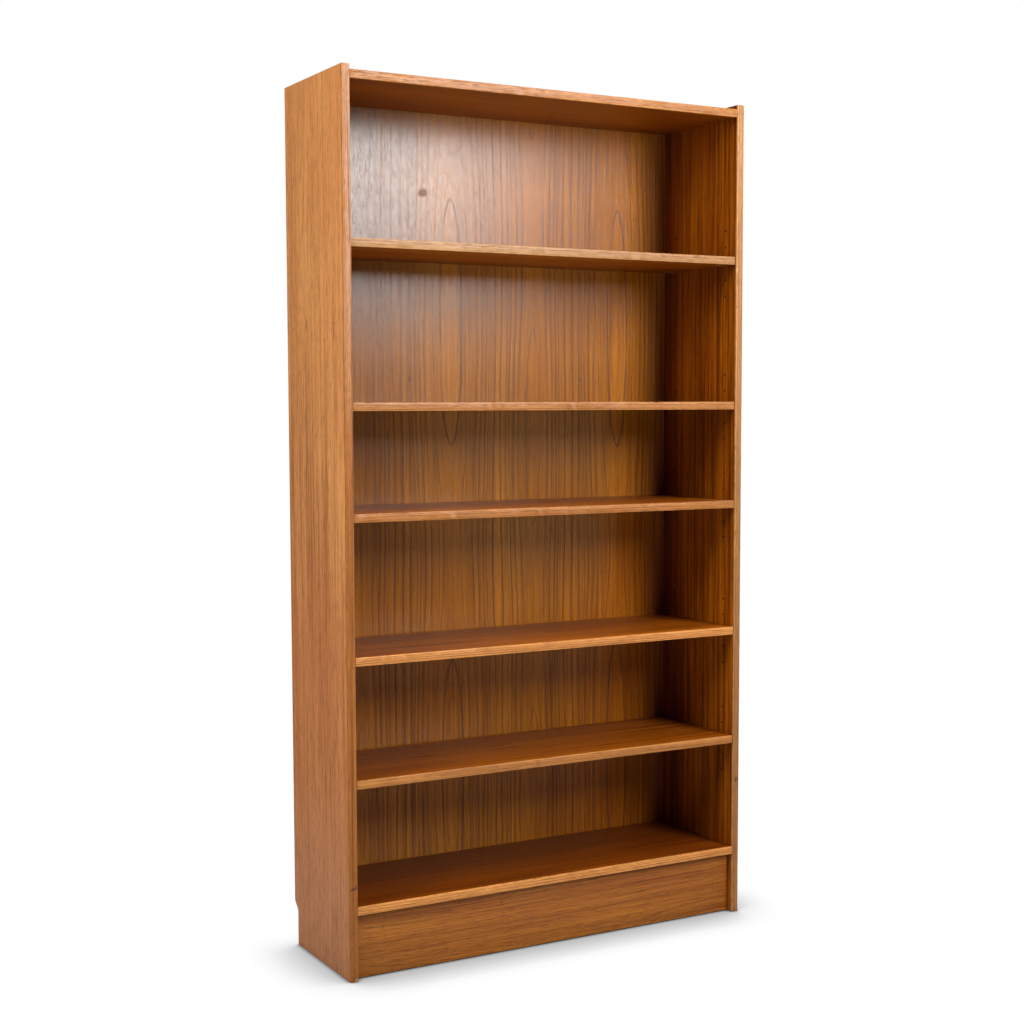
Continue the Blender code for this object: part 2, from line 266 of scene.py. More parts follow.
def teak(name, tones, order, seed, look=None, box=None, spots=(), figure=None):
    # oiled teak; look and figure override teakLook and plainFigure, box is the piece's, for worn edges
    look = {**teakLook, **(look or {})}
    figure = {"seed": seed, **plainFigure, **(figure or {})}
    colours = teakTones[tones]
    finish = Finish(name, Specular_IOR_Level=look["gloss"])
    along, across, depth = grainPlace(finish, order)
    place = finish.vector(along, across, depth)

    bands, drift, streaks, fibre, pores, dashes, sheen = [
        finish.cloud(place, scale, detail, roughness, seed + shift)
        for scale, detail, roughness, shift in grainPatterns.values()]
    pores = pores.fade(0.58, 0.72)
    dashes = dashes.fade(0.56, 0.70)
    radius, slope = growthRings(finish, along, across, figure)
    lines = ringLines(finish, place, radius, slope, figure["spacing"], figure["width"], seed)
    fineLines = ringLines(finish, place, radius, slope, figure["fineSpacing"], figure["fineWidth"],
                          seed + 20)

    tone = (look["tone"] + (bands - 0.5) * look["bands"] + (streaks - 0.5) * look["streaks"]
            + (fibre - 0.5) * look["fibre"])
    tone = tone.math("MAXIMUM", 0.0).math("MINIMUM", 1.0)
    colour = finish.blend(tone, colours["dark"], colours["light"])
    colour = finish.blend(drift.fade(0.35, 0.7) * look["redness"], colour, colours["red"])
    dull = lines.math("MAXIMUM", fineLines * 0.6).math("MAXIMUM", pores) * look["matt"]
    # painted light and shade along the grain: the piece lighter or darker towards one end
    for start, end, cover, strength in look["paintedLightFades"]:
        colour = finish.blend(along.fade(start, end, 0.0, strength), colour, cover)
    # painted shade across the grain: darker towards the corners where the piece meets others
    for start, end, cover, strength in look["paintedShades"]:
        shade = across.fade(start, end, 0.0, strength)
        colour = finish.blend(shade, colour, cover, "MULTIPLY")
        dull = dull.math("MAXIMUM", shade * 0.9)
    # painted shade on patches bounded across and along the grain; each patch's last value also fades the
    # ring lines there, a painted wash of glare
    for shadePatch in look["paintedShadePatches"]:
        amount = across.fade(*shadePatch["across"]) * along.fade(*shadePatch["along"])
        colour = finish.blend(amount, colour, shadePatch["cover"], "MULTIPLY")
        lines = lines * (1.0 - amount * shadePatch["glareWash"])
        fineLines = fineLines * (1.0 - amount * shadePatch["glareWash"])
    colour = finish.blend(dashes * look["dashes"], colour, poreInk)
    colour = finish.blend(fineLines * look["fineRings"], colour, poreInk)
    colour = finish.blend(lines * look["rings"], colour, poreInk)
    if figure["leaf"]:
        joint = (across - figure["leafEdge"]).math("FLOORED_MODULO", figure["leaf"])
        joint = joint.fade(0.0, leafJoint["width"], leafJoint["strength"], 0.0)
        colour = finish.blend(joint, colour, poreInk)
    colour = finish.blend(pores * look["pores"], colour, poreInk)
    for centre, size, ink, strength in spots:
        spot = softSpot(finish, centre, size) * strength
        colour = finish.blend(spot, colour, ink)
        dull = dull.math("MAXIMUM", spot)
    if box:
        patchy = finish.cloud(finish.place, wornEdge["scale"], 3.0, 0.6, seed).fade(0.38, 0.66)
        worn = edgeDistance(finish, *box).fade(0.0, wornEdge["width"], 1.0, 0.0) * patchy
        colour = finish.blend(worn * look["wear"], colour, colours["light"])
    finish.set("Base Color", colour)

    finish.set("Roughness", look["roughness"] + (streaks - 0.5) * look["polish"]
               + (sheen - 0.5) * look["sheen"] + dull * look["dullness"])
    height = (fibre * grainRelief["fibre"] + sheen * grainRelief["sheen"] - pores
              - lines * grainRelief["lines"])
    finish.set("Normal", finish.bump(height, look["bump"], grainRelief["strength"]))
    return finish


# Other finishes

chipboardTones = {"light": tint(196, 160, 112), "dark": tint(120, 84, 50), "flake": 420.0}
# a darker copy of the chipboard for the walls of the pin holes: painted shade inside the holes
holeShadeTones = {"light": tint(112, 70, 36), "dark": tint(58, 32, 14), "flake": 700.0}


def chipboard(name, seed, tones=chipboardTones):
    # pressed wood flakes, seen where a board is left raw
    finish = Finish(name, Roughness=0.9, Specular_IOR_Level=0.2)
    moved = finish.add("ShaderNodeMapping", sockets={"Vector": finish.place, "Location": (seed, 0.0, 0.0)})
    flakes = finish.add("ShaderNodeTexVoronoi", {"feature": "F1"}, {
        "Vector": moved, "Scale": tones["flake"], "Randomness": 1.0})
    shade = finish.add("ShaderNodeSeparateColor", sockets={0: flakes.output("Color")})
    dust = finish.cloud(finish.place, (900.0, 900.0, 900.0), 2.0)
    tone = shade * 0.6 + dust * 0.5
    finish.set("Base Color", finish.blend(tone, tones["dark"], tones["light"]))
    finish.set("Normal", finish.bump(tone, 0.0006, 0.5))
    return finish


plainGrain = {
    "bands": (0.7, 6.0, 6.0), "streaks": (5.0, 150.0, 150.0), "pores": (40.0, 1200.0, 1200.0),
    "stain": (5.0, 5.0, 3.0),
}


def plainWood(name, order, tones, seed):
    # a pale, even wood with faint stains
    finish = Finish(name, Specular_IOR_Level=0.3)
    along, across, depth = grainPlace(finish, order)
    place = finish.vector(along, across, depth)
    bands = finish.cloud(place, plainGrain["bands"], 3.0, 0.5, seed)
    streaks = finish.cloud(place, plainGrain["streaks"], 4.0, 0.6, seed + 4)
    pores = finish.cloud(place, plainGrain["pores"], 1.0, 0.5, seed + 8).fade(0.6, 0.75)
    tone = 0.5 + (bands - 0.5) * 1.4 + (streaks - 0.5) * 0.9
    colour = finish.blend(tone, tones["dark"], tones["light"])
    colour = finish.blend(pores * 0.35, colour, tones["dark"])
    stain = finish.cloud(finish.place, plainGrain["stain"], 4.0, 0.6, seed + 1).fade(0.55, 0.75)
    finish.set("Base Color", finish.blend(stain * 0.25, colour, tones["stain"]))
    finish.set("Roughness", 0.62 + (streaks - 0.5) * 0.2)
    finish.set("Normal", finish.bump(streaks * 0.6 - pores, 0.0004, 0.4))
    return finish


def brightSteel(name, tones, seed):
    # plated steel with fine turning marks and dull patches
    finish = Finish(name, Metallic=1.0)
    dull = finish.cloud(finish.place, (300.0, 300.0, 300.0), 3.0, 0.6, seed)
    finish.set("Base Color", finish.blend(dull.fade(0.4, 0.7), tones["bright"], tones["dull"]))
    finish.set("Roughness", dull.fade(0.3, 0.8, 0.22, 0.5))
    marks = finish.cloud(finish.place, (4000.0, 300.0, 300.0), 1.0, 0.5, seed + 2)
    finish.set("Normal", finish.bump(marks, 0.00004, 0.3))
    return finish


backingTones = {"light": tint(196, 152, 104), "dark": tint(148, 104, 64), "stain": tint(120, 84, 54)}
beechTones = {"light": tint(214, 178, 132), "dark": tint(180, 136, 92), "stain": tint(196, 150, 100)}
steelTones = {"bright": tint(200, 198, 194), "dull": tint(150, 146, 140)}
nailTones = {"bright": tint(168, 160, 150), "dull": tint(112, 98, 84)}


# Mesh helpers

near = 0.0001              # points closer than this to a plane lie on it
overshoot = 0.002          # how far a cutter stands out of the face it enters


def boxShape(low, high):
    shape = bmesh.new()
    low, high = Vector(low), Vector(high)
    place = Matrix.Translation((low + high) / 2) @ Matrix.Diagonal((*(high - low), 1.0))
    bmesh.ops.create_cube(shape, size=1.0, matrix=place)
    return shape


def roundEdges(shape, edges, radius, segments):
    bmesh.ops.bevel(shape, geom=edges, offset=radius, segments=segments, profile=0.5,
                    material=-1, affect="EDGES")


def sharpEdges(shape, angle):
    return [edge for edge in shape.edges if edge.calc_face_angle(0.0) > math.radians(angle)]


def divideLong(shape, axis, pieces):
    # cuts a box into pieces along one axis, so that its long arrises can be worn
    long = [edge for edge in shape.edges
            if abs((edge.verts[1].co - edge.verts[0].co).normalized()[axis]) > 0.99]
    bmesh.ops.subdivide_edges(shape, edges=long, cuts=pieces - 1, use_grid_fill=True)


def wearArrises(shape, low, high, values, seed):
    # knocks back the points on the arrises, which face two ways at once, in patches
    middle = (low + high) / 2
    shape.normal_update()
    for vert in shape.verts:
        pull = [abs(part) for part in vert.normal]
        if sum(part > values["slant"] for part in pull) < 2:
            continue
        level = noise.noise(vert.co / values["wearSize"] + Vector((seed, 0.0, 0.0)))
        hit = max(0.0, level - values["wearLevel"])
        inward = [math.copysign(part, gap) for part, gap in zip(pull, middle - vert.co)]
        vert.co += Vector(inward) * hit * values["wearDepth"]


def takeMesh(name, shape):
    # the shape as mesh data; the shape itself is freed
    mesh = bpy.data.meshes.new(name)
    shape.to_mesh(mesh)
    shape.free()
    return mesh


def turned(profile, steps):
    # mesh turned about +Z from the origin; profile holds (height, radius) from end to end
    shape = bmesh.new()
    points = [shape.verts.new((radius, 0.0, height)) for height, radius in profile]
    edges = [shape.edges.new(pair) for pair in zip(points, points[1:])]
    bmesh.ops.spin(shape, geom=points + edges, cent=(0, 0, 0), axis=(0, 0, 1), angle=2 * math.pi,
                   steps=steps, use_merge=True)
    bmesh.ops.remove_doubles(shape, verts=shape.verts, dist=0.000001)
    bmesh.ops.recalc_face_normals(shape, faces=shape.faces)
    return takeMesh("turned", shape)


def aimed(start, direction):
    turn = Vector(direction).to_track_quat("Z", "Y").to_matrix().to_4x4()
    return Matrix.Translation(start) @ turn


def addCopy(shape, mesh, place, material=0):
    copy = mesh.copy()
    copy.transform(place)
    for face in copy.polygons:
        face.material_index = material
    shape.from_mesh(copy)
    bpy.data.meshes.remove(copy)


def carve(shape, tools):
    # the shape with the tools' closed shapes cut out; cut faces take the tools' material
    blanks = []
    for part in (shape, tools):
        bmesh.ops.recalc_face_normals(part, faces=part.faces)
        blank = bpy.data.objects.new("blank", takeMesh("blank", part))
        bpy.context.scene.collection.objects.link(blank)
        blanks.append(blank)
    body, cutter = blanks
    cut = body.modifiers.new("cut", "BOOLEAN")
    cut.operation = "DIFFERENCE"
    cut.solver = "EXACT"
    cut.object = cutter
    mesh = bpy.data.meshes.new_from_object(body.evaluated_get(bpy.context.evaluated_depsgraph_get()))
    carved = bmesh.new()
    carved.from_mesh(mesh)
    for item in blanks:
        bpy.data.objects.remove(item)
    bpy.data.meshes.remove(mesh)
    return carved


def dress(shape, normal, index):
    # gives the faces that look along one direction their own material
    normal = Vector(normal)
    shape.normal_update()
    for face in shape.faces:
        if face.material_index == 0 and face.normal.dot(normal) > 0.9:
            face.material_index = index


def addPiece(name, shape, finishes, body, replaced, angle=35):
    mesh = takeMesh(name, shape)
    for finish in finishes:
        mesh.materials.append(finish.material)
    mesh.shade_smooth()
    mesh.set_sharp_from_angle(angle=math.radians(angle))
    piece = bpy.data.objects.new(name, mesh)
    bpy.context.scene.collection.objects.link(piece)
    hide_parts(replaced)
    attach(piece, body)
    return piece


def nodeBox(node):
    low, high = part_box(node)
    return Vector(low), Vector(high)


def nodeMiddle(node):
    low, high = nodeBox(node)
    return (low + high) / 2


# How the pieces are numbered and named, and the joints between the boards

sideNames = {"left": -1, "right": 1}
dowelCounts = {"top": 3, "bottom": 3, "plinth": 2}
shelfNumbers = range(1, 6)
nailNumbers = range(1, 5)
pinColumns = ("front", "rear")
drillTip = 0.35            # length of a drill's cone for a radius of 1
joinery = {
    "dowelRadius": 0.0040, "dowelSides": 16, "dowelRoom": 0.0018,
    "nailRadius": 0.0008, "nailSides": 12, "room": 0.0003,
}


def drillMesh(radius, flare, depth, sides):
    # a drill that enters at height 0 and points up, with a flared rim and a conical tip
    profile = [(-overshoot, 0.0), (-overshoot, radius + flare)]
    if flare:
        profile += [(0.0, radius + flare), (flare, radius)]
    profile += [(depth - radius * drillTip, radius), (depth, 0.0)]
    return turned(profile, sides)


def dowelNodes(board, name):
    return [f"dowel_{board}_{name}_{index}" for index in range(1, dowelCounts[board] + 1)]


def addSocket(tools, node, end, outward, material):
    # bores one dowel's socket from end along X; outward is 1 or -1
    low, high = nodeBox(node)
    middle = (low + high) / 2
    reach = (high.x - end if outward > 0 else end - low.x) + joinery["dowelRoom"]
    socket = drillMesh(joinery["dowelRadius"], 0.0, reach, joinery["dowelSides"])
    addCopy(tools, socket, aimed((end, middle.y, middle.z), (outward, 0.0, 0.0)), material)


def addNailHoles(tools, high, reach):
    # bores the back's nail holes forwards from its rear; reach gives each hole's depth
    for number in nailNumbers:
        low = nodeBox(f"back_nail_{number}")[0]
        middle = nodeMiddle(f"back_nail_{number}")
        drill = drillMesh(joinery["nailRadius"], 0.0, reach(low), joinery["nailSides"])
        addCopy(tools, drill, aimed((middle.x, high.y, middle.z), (0.0, -1.0, 0.0)), 1)


# Sides

sideBoard = {
    "arris": 0.0005,
    "notchDepth": 0.018, "notchStraight": 0.075, "notchTop": 0.100, "notchSteps": 18,
    "holeRadius": 0.0026, "holeFlare": 0.0002, "holeDepth": 0.010, "holeSides": 24,
    "holePitch": 0.0375, "holesEachWay": 2,
}
outerLook = {"bands": 1.7, "streaks": 2.8, "fibre": 1.8, "rings": 0.35, "fineRings": 0.28,
             "dashes": 0.4, "pores": 0.3, "redness": 0.6, "roughness": 0.44, "wear": 0.3}
innerLook = {"bands": 1.2, "streaks": 4.0, "fibre": 2.4, "rings": 0.9, "roughness": 0.40}
fleckInk = tint(120, 62, 30)
sideFlecks = [              # small dark marks outside the left side: y, z, size and strength
    (-0.072, 1.585, (0.004, 0.003, 0.008), 0.5),
    (-0.103, 1.368, (0.004, 0.005, 0.004), 0.5),
    (-0.056, 1.334, (0.004, 0.005, 0.003), 0.5),
    (-0.080, 1.240, (0.004, 0.003, 0.009), 0.5),
    (0.087, 1.270, (0.004, 0.004, 0.008), 0.4),
    (0.116, 1.366, (0.004, 0.006, 0.004), 0.4),
    (0.047, 0.372, (0.004, 0.003, 0.005), 0.6),
]
# painted light on the outer sides: lighter towards the top, darker from the middle down, and a pale
# painted sheen of the floor near the bottom
sidePaintedLight = ((0.85, 1.60, tint(214, 150, 88), 0.35), (0.95, 0.65, tint(186, 106, 56), 0.45),
             (0.48, 0.12, tint(192, 136, 100), 0.45))
# painted shade: the inner faces of the sides darken towards the back corner
innerPaintedShade = ((0.020, 0.140, tint(186, 144, 116), 1.0),)
sideSeeds = {"left": 3.0, "right": 8.0}


def sideOutline(low, high, values):
    outline = [(low.y, low.z), (high.y - values["notchDepth"], low.z)]
    for step in range(values["notchSteps"] + 1):
        t = step / values["notchSteps"]
        inset = values["notchDepth"] * (1 + math.cos(math.pi * t)) / 2
        rise = values["notchStraight"] + (values["notchTop"] - values["notchStraight"]) * t
        outline.append((high.y - inset, low.z + rise))
    return outline + [(high.y, high.z), (low.y, high.z)]


def makeSide(name, side):
    values = sideBoard
    room = joinery["room"]
    low, high = nodeBox(name + "_side_panel")
    low.y = nodeBox(name + "_side_lipping")[1].y       # the glued joint is closed
    inner = high.x if side < 0 else low.x
    outer = low.x if side < 0 else high.x

    shape = bmesh.new()
    corners = [shape.verts.new((inner, y, z)) for y, z in sideOutline(low, high, values)]
    face = shape.faces.new(corners)
    swept = bmesh.ops.extrude_face_region(shape, geom=[face])["geom"]
    bmesh.ops.translate(shape, verts=[item for item in swept if isinstance(item, bmesh.types.BMVert)],
                        vec=(outer - inner, 0.0, 0.0))
    bmesh.ops.recalc_face_normals(shape, faces=shape.faces)
    eased = [edge for edge in sharpEdges(shape, 30)
             if not all(abs(vert.co.y - low.y) < near for vert in edge.verts)
             and abs(edge.verts[0].co.x - edge.verts[1].co.x) < near]
    roundEdges(shape, eased, values["arris"], 2)

    tools = bmesh.new()
    outward = (side, 0.0, 0.0)
    drill = drillMesh(values["holeRadius"], values["holeFlare"], values["holeDepth"], values["holeSides"])
    steps = range(-values["holesEachWay"], values["holesEachWay"] + 1)
    for number in shelfNumbers:
        for column in pinColumns:
            pin = nodeMiddle(f"pin_{number}_{name}_{column}")
            for step in steps:
                start = (inner, pin.y, pin.z + step * values["holePitch"])
                addCopy(tools, drill, aimed(start, outward), 3)
    for board in dowelCounts:
        for node in dowelNodes(board, name):
            addSocket(tools, node, inner, side, 2)
    backLow, backHigh = nodeBox("back_panel")
    floor = (backLow.x if side < 0 else backHigh.x) + side * room
    mouth = inner - side * overshoot
    groove = boxShape((min(floor, mouth), backLow.y - room, low.z - overshoot),
                      (max(floor, mouth), backHigh.y + room, high.z + overshoot))
    addCopy(tools, takeMesh("groove", groove), Matrix(), 2)

    carved = carve(shape, tools)
    dress(carved, (-side, 0, 0), 1)
    dress(carved, (0, 1, 0), 2)
    dress(carved, (0, 0, -1), 2)
    seed = sideSeeds[name]
    flecks = [((outer, y, z), size, fleckInk, strength) for y, z, size, strength in sideFlecks]
    outerTeak = teak(name + "SideOuterTeak", "sideOuter", "ZYX", seed, {**outerLook, "paintedLightFades": sidePaintedLight},
                     (low, high), flecks if side < 0 else ())
    innerTeak = teak(name + "SideInnerTeak", "sideInner", "ZYX", seed + 2,
                     {**innerLook, "paintedShades": innerPaintedShade})
    raw = chipboard(name + "SideChipboard", seed, chipboardTones)
    # the pin holes' finish is painted shade
    holeShade = chipboard(name + "SideHoleShade", seed, holeShadeTones)
    addPiece(name + "SideBoard", carved, (outerTeak, innerTeak, raw, holeShade), caseBody,
             name + "_side_panel")


for sideName, sideSign in sideNames.items():
    makeSide(sideName, sideSign)
print("sides made")


# Solid strips on the front edges

lippingStrip = {"radius": 0.0009, "segments": 3, "step": 0.012, "wearDepth": 0.0007, "wearSize": 0.02,
                "wearLevel": 0.15, "slant": 0.3}
stripLook = {"bands": 0.4, "streaks": 1.6, "fibre": 1.4, "rings": 0.75, "fineRings": 0.45, "pores": 0.4,
             "redness": 0.35, "roughness": 0.42, "wear": 0.6}
stripFigure = {"wander": 0.006, "wave": 0.0012, "spacing": 0.0062, "width": 0.0010,
               "fineSpacing": 0.0023, "fineWidth": 0.0006,
               "hearts": [{"across": -0.6, "depth": 0.05, "swing": 0.01, "crest": 0.3, "period": 1.9}]}
knotInk = tint(44, 20, 8)
bareWood = tint(232, 196, 150)


def makeLipping(name, node, body, axis, seed, boardNode, tones="shelfStrip", spots=(), paintedLightFades=()):
    # one strip along axis; its back is carried to the board behind it, which closes the glued joint
    values = lippingStrip
    low, high = nodeBox(node)
    if boardNode:
        high.y = nodeBox(boardNode)[0].y
    shape = boxShape(low, high)
    front = [edge for edge in shape.edges
             if not all(vert.co.y > high.y - near for vert in edge.verts)]
    roundEdges(shape, front, values["radius"], values["segments"])
    divideLong(shape, axis, round((high[axis] - low[axis]) / values["step"]))
    wearArrises(shape, low, high, values, seed)
    order = "ZXY" if axis == 2 else "XZY"
    finish = teak(name + "Teak", tones, order, seed, {**stripLook, "paintedLightFades": paintedLightFades}, (low, high), spots,
                  stripFigure)
    addPiece(name, shape, (finish,), body, node)


postSpots = {               # x from the strip's left edge, z, size, ink and strength
    "left": [(0.008, 0.198, (0.0080, 0.004, 0.004), knotInk, 0.7),
             (0.014, 0.201, (0.0030, 0.004, 0.007), knotInk, 0.6),
             (0.014, 0.004, (0.006, 0.004, 0.004), bareWood, 0.3)],
    "right": [(0.010, 0.318, (0.004, 0.004, 0.008), knotInk, 0.8),
              (0.001, 1.508, (0.003, 0.004, 0.007), bareWood, 0.25)],
}
# painted light on the front strips of the sides: darker towards the bottom, and a painted highlight near
# the top of the left strip
postPaintedLight = {
    "left": ((0.75, 0.10, tint(120, 72, 32), 0.45), (1.05, 1.45, tint(196, 148, 108), 0.3)),
    "right": ((1.45, 0.95, tint(122, 80, 40), 0.5),),
}
stripTones = {1: "pinkStrip", 4: "paleStrip"}

for sideName, sideSign in sideNames.items():
    low, high = nodeBox(sideName + "_side_lipping")
    spots = [((low.x + x, low.y, z), size, ink, strength)
             for x, z, size, ink, strength in postSpots[sideName]]
    makeLipping(sideName + "SideStrip", sideName + "_side_lipping", caseBody, 2,
                21.0 + 4 * sideSign, None, sideName + "Post", spots, postPaintedLight[sideName])
makeLipping("topStrip", "top_lipping", caseBody, 0, 31.0, "top_panel")
makeLipping("bottomStrip", "bottom_lipping", caseBody, 0, 34.0, "bottom_panel", "paleStrip")
for number in shelfNumbers:
    makeLipping(f"shelf{number}Strip", f"shelf_{number}_lipping", f"shelf_{number}", 0,
                40.0 + 3 * number, f"shelf_{number}", stripTones.get(number, "shelfStrip"))
print("front strips made")


# Boards between the sides

boardArris = 0.0004
plinthFigure = {"seed": 5.0, "wander": 0.03, "wave": 0.010, "spacing": 0.012, "width": 0.0016,
                "fineSpacing": 0.0042, "fineWidth": 0.0010,
                "hearts": [{"across": -0.02, "depth": 0.045, "swing": 0.02, "crest": -0.1,
                            "period": 1.3}]}
plinthCracks = (            # x from the plinth's left end, z, size and strength
    (0.066, 0.103, (0.0016, 0.004, 0.011), 0.35),
    (0.068, 0.082, (0.0014, 0.004, 0.010), 0.3),
)


def boardBlank(low, high):
    # a board eased on every edge but those of its front, which is glued to the strip
    shape = boxShape(low, high)
    eased = [edge for edge in shape.edges
             if not all(vert.co.y < low.y + near for vert in edge.verts)]
    roundEdges(shape, eased, boardArris, 2)
    return shape


def addEndSockets(tools, board, low, high):
    # the dowel sockets in both ends of a board
    for name, side in sideNames.items():
        for node in dowelNodes(board, name):
            addSocket(tools, node, low.x if side < 0 else high.x, -side, 1)


def makeTop():
    low, high = nodeBox("top_panel")
    shape = boardBlank(low, high)
    tools = bmesh.new()
    addEndSockets(tools, "top", low, high)
    backLow, backHigh = nodeBox("back_panel")
    room = joinery["room"]
    groove = boxShape((low.x - overshoot, backLow.y - room, low.z - overshoot),
                      (high.x + overshoot, backHigh.y + room, backHigh.z + room))
    addCopy(tools, takeMesh("groove", groove), Matrix(), 1)
    carved = carve(shape, tools)
    dress(carved, (0, 1, 0), 1)
    finish = teak("topTeak", "shelf", "XYZ", 51.0, {"gloss": 0.25, "streaks": 2.2}, (low, high))
    addPiece("topBoard", carved, (finish, chipboard("topChipboard", 2.0)), caseBody,
             "top_panel")


def makeBottom():
    low, high = nodeBox("bottom_panel")
    shape = boardBlank(low, high)
    tools = bmesh.new()
    addEndSockets(tools, "bottom", low, high)
    addNailHoles(tools, high, lambda nailLow: high.y - nailLow.y + joinery["room"])
    carved = carve(shape, tools)
    dress(carved, (0, 1, 0), 1)
    # the bottom tones hold painted shade
    finish = teak("bottomTeak", "bottom", "XYZ", 54.0, {"gloss": 0.2, "streaks": 2.4}, (low, high))
    addPiece("bottomBoard", carved, (finish, chipboard("bottomChipboard", 5.0)), caseBody,
             "bottom_panel")


def makePlinth():
    low, high = nodeBox("plinth_board")
    shape = boxShape(low, high)
    roundEdges(shape, shape.edges[:], boardArris, 2)
    tools = bmesh.new()
    addEndSockets(tools, "plinth", low, high)
    carved = carve(shape, tools)
    dress(carved, (0, 1, 0), 1)
    dress(carved, (0, 0, -1), 1)
    cracks = [((low.x + x, low.y, z), size, knotInk, strength) for x, z, size, strength in plinthCracks]
    finish = teak("plinthTeak", "plinth", "XZY", 58.0, {"rings": 0.5, "streaks": 1.7, "dashes": 0.4},
                  (low, high), cracks, plinthFigure)
    addPiece("plinthBoard", carved, (finish, chipboard("plinthChipboard", 7.0)), caseBody,
             "plinth_board")


makeTop()
makeBottom()
makePlinth()
print("fixed boards made")


# Back panel: teak on the front, plain backing behind, in leaves of veneer that repeat

backSheet = {"arris": 0.0003, "nailRoom": 0.004}
backFigure = {
    "seed": 2.0, "leaf": 0.450, "leafEdge": -0.212, "wander": 0.016, "wave": 0.007, "spacing": 0.022,
    "width": 0.0034, "join": 0.02, "fineSpacing": 0.0105, "fineWidth": 0.0022,
    "hearts": [
        {"across": 0.105, "depth": 0.0289, "swing": -0.0145, "crest": 1.385, "period": 1.05},
        {"across": 0.322, "depth": 0.020, "swing": -0.010, "crest": 1.146, "period": 0.90, "back": 0.028},
    ],
}
backKnots = (               # x, z, size, ink and strength
    (-0.177, 1.677, (0.016, 0.004, 0.011), tint(110, 70, 42), 0.62),
    (-0.214, 1.261, (0.004, 0.004, 0.009), knotInk, 0.55),
    (0.238, 1.260, (0.004, 0.004, 0.008), knotInk, 0.55),
)
backLook = {"bands": 0.6, "streaks": 1.2, "fibre": 1.0, "rings": 1.0, "fineRings": 0.75, "dashes": 0.15,
            "pores": 0.35, "matt": 0.22, "redness": 0.35, "roughness": 0.26, "sheen": 0.10,
            "gloss": 0.40, "bump": 0.00007}
# painted shade: the back darkens towards its left and right edges, where the sides meet it
backPaintedShade = ((0.415, 0.482, tint(206, 186, 156), 1.0), (-0.400, -0.482, tint(200, 190, 182), 1.0))
# painted shade on three patches of the back, towards its upper left, its left and its lower right; the
# first also fades the ring lines, a painted wash of glare
backPaintedShadePatches = ({"across": (0.05, -0.44), "along": (1.15, 1.60), "cover": tint(176, 182, 192),
              "glareWash": 0.80},
             {"across": (-0.10, -0.40), "along": (0.62, 0.85), "cover": tint(230, 226, 214),
              "glareWash": 0.0},
             {"across": (0.08, 0.32), "along": (1.10, 0.80), "cover": tint(238, 222, 186),
              "glareWash": 0.0})


def makeBack():
    low, high = nodeBox("back_panel")
    shape = boxShape(low, high)
    roundEdges(shape, shape.edges[:], backSheet["arris"], 1)
    tools = bmesh.new()
    addNailHoles(tools, high, lambda nailLow: high.y - low.y + backSheet["nailRoom"])
    carved = carve(shape, tools)
    dress(carved, (0, 1, 0), 1)
    for direction in ((1, 0, 0), (-1, 0, 0), (0, 0, 1), (0, 0, -1)):
        dress(carved, direction, 1)
    spots = [((x, low.y, z), size, ink, strength) for x, z, size, ink, strength in backKnots]
    face = teak("backTeak", "back", "ZXY", 60.0, {**backLook, "paintedShades": backPaintedShade, "paintedShadePatches": backPaintedShadePatches},
                None, spots, backFigure)
    backing = plainWood("backBacking", "ZXY", backingTones, 4.0)
    addPiece("backSheet", carved, (face, backing), caseBody, "back_panel")


makeBack()
print("back made")


# Loose shelves, with round-ended grooves for their pins

shelfBoard = {"grooveWidth": 0.010, "grooveLength": 0.027, "grooveDepth": 0.0077,
              "grooveShift": -0.002, "grooveSteps": 12}
streakInk = tint(48, 22, 8)
shelfStreaks = {            # dark streaks on two shelves' tops: x, y, size and strength
    4: [(-0.250, -0.058, (0.190, 0.006, 0.02), 0.55), (-0.290, 0.038, (0.140, 0.005, 0.02), 0.5)],
    5: [(-0.255, 0.002, (0.035, 0.005, 0.02), 0.7), (-0.055, 0.024, (0.048, 0.004, 0.02), 0.8),
        (-0.050, -0.012, (0.048, 0.004, 0.02), 0.75)],
}


def grooveTool(end, side, y, floor, values):
    # the cutter for one groove: a flat outline with a round inner end, carried up into the board
    radius = values["grooveWidth"] / 2
    centre = end - side * (values["grooveLength"] - radius)
    outline = [(end + side * overshoot, y - radius)]
    for step in range(values["grooveSteps"] + 1):
        angle = math.pi * step / values["grooveSteps"]
        outline.append((centre - side * radius * math.sin(angle), y - radius * math.cos(angle)))
    outline.append((end + side * overshoot, y + radius))
    tool = bmesh.new()
    face = tool.faces.new([tool.verts.new((x, along, floor - overshoot)) for x, along in outline])
    swept = bmesh.ops.extrude_face_region(tool, geom=[face])["geom"]
    bmesh.ops.translate(tool, verts=[item for item in swept if isinstance(item, bmesh.types.BMVert)],
                        vec=(0.0, 0.0, values["grooveDepth"] + overshoot))
    return takeMesh("groove", tool)


